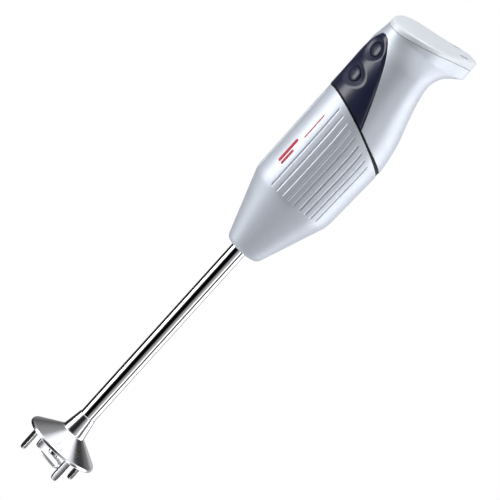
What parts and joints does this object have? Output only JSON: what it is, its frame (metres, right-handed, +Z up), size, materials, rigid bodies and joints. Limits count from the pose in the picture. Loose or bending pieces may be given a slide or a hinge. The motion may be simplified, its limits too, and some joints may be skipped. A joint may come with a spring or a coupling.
{
  "type": "immersion blender",
  "caption": "Hand-held immersion blender: steel shaft, legged splash guard with bent blade, fluted motor housing and a necked handle with push buttons.",
  "frame": {"origin": "bottom centre of the object's box: on the surface the four legs stand on; the drive axis is 5.45 mm towards -X from it", "axes": "+Z up the shaft to the handle, +X towards the tail of the handle, -X towards the buttons"},
  "size_m": [0.0697, 0.0612, 0.3949],
  "materials": {
    "housing_grey": "satin silver-grey",
    "black_seal": "matt",
    "navy_panel": "semi-gloss dark navy",
    "cover_pale": "fine satin",
    "black_rubber": "matt",
    "tube_chrome": "mirror",
    "guard_chrome": "mirror",
    "nylon": "moulded",
    "bearing_brass": "turned",
    "steel": "ground",
    "blade_steel": "polished",
    "iron": "laminated or cast",
    "copper": "varnished wire",
    "carbon": "pressed carbon",
    "black_plastic": "moulded",
    "laminate": "board",
    "capacitor_film": "moulded"
  },
  "bodies": {
    "body": {"lower_housing": "housing_grey", "handle_shell": "housing_grey", "seam_gasket": "black_seal", "switch_panel": "navy_panel", "top_cover": "cover_pale", "cord_inlet_bush": "black_rubber", "tube": "tube_chrome", "tube_collar": "nylon", "guard": "guard_chrome", "lower_bush": "bearing_brass", "upper_bush": "bearing_brass", "shaft_seal": "black_rubber", "lower_bearing": "steel", "upper_bearing": "steel", "motor_screw_left": "steel", "motor_screw_right": "steel", "motor_lower_bracket": "iron", "motor_upper_bracket": "iron", "stator_core": "iron", "field_coil_left": "copper", "field_coil_right": "copper", "brush_holder_front": "bearing_brass", "brush_holder_rear": "bearing_brass", "brush_front": "carbon", "brush_rear": "carbon", "brush_spring_front": "steel", "brush_spring_rear": "steel", "upper_switch": "black_plastic", "lower_switch": "black_plastic", "upper_button_spring": "steel", "lower_button_spring": "steel", "circuit_board": "laminate", "capacitor": "capacitor_film"},
    "rotor": {"motor_shaft": "steel", "armature_core": "iron", "armature_winding": "copper", "commutator": "copper", "cooling_fan": "nylon", "coupling": "bearing_brass", "drive_shaft": "steel", "drive_pin": "steel"},
    "blade_unit": {"blade_hub": "blade_steel", "blade": "blade_steel"},
    "upper_switch_button": {"upper_button": "navy_panel", "upper_plunger": "nylon"},
    "lower_switch_button": {"lower_button": "navy_panel", "lower_plunger": "nylon"}
  },
  "joints": [
    {"name": "motor_spin", "type": "hinge", "parent": "body", "child": "rotor", "pos_m": [-0.00545, 0, 0.11], "axis": [0, 0, 1], "continuous": true},
    {"name": "blade_pull_off", "type": "slide", "parent": "rotor", "child": "blade_unit", "axis": [0, 0, -1], "range_m": [0, 0.018]},
    {"name": "upper_button_press", "type": "slide", "parent": "body", "child": "upper_switch_button", "axis": [1, 0, 0], "range_m": [0, 0.0016], "stiffness_N_per_m": 600, "springref_m": -0.0012, "deforming": ["upper_button_spring"]},
    {"name": "lower_button_press", "type": "slide", "parent": "body", "child": "lower_switch_button", "axis": [1, 0, 0], "range_m": [0, 0.0016], "stiffness_N_per_m": 600, "springref_m": -0.0012, "deforming": ["lower_button_spring"]}
  ]
}
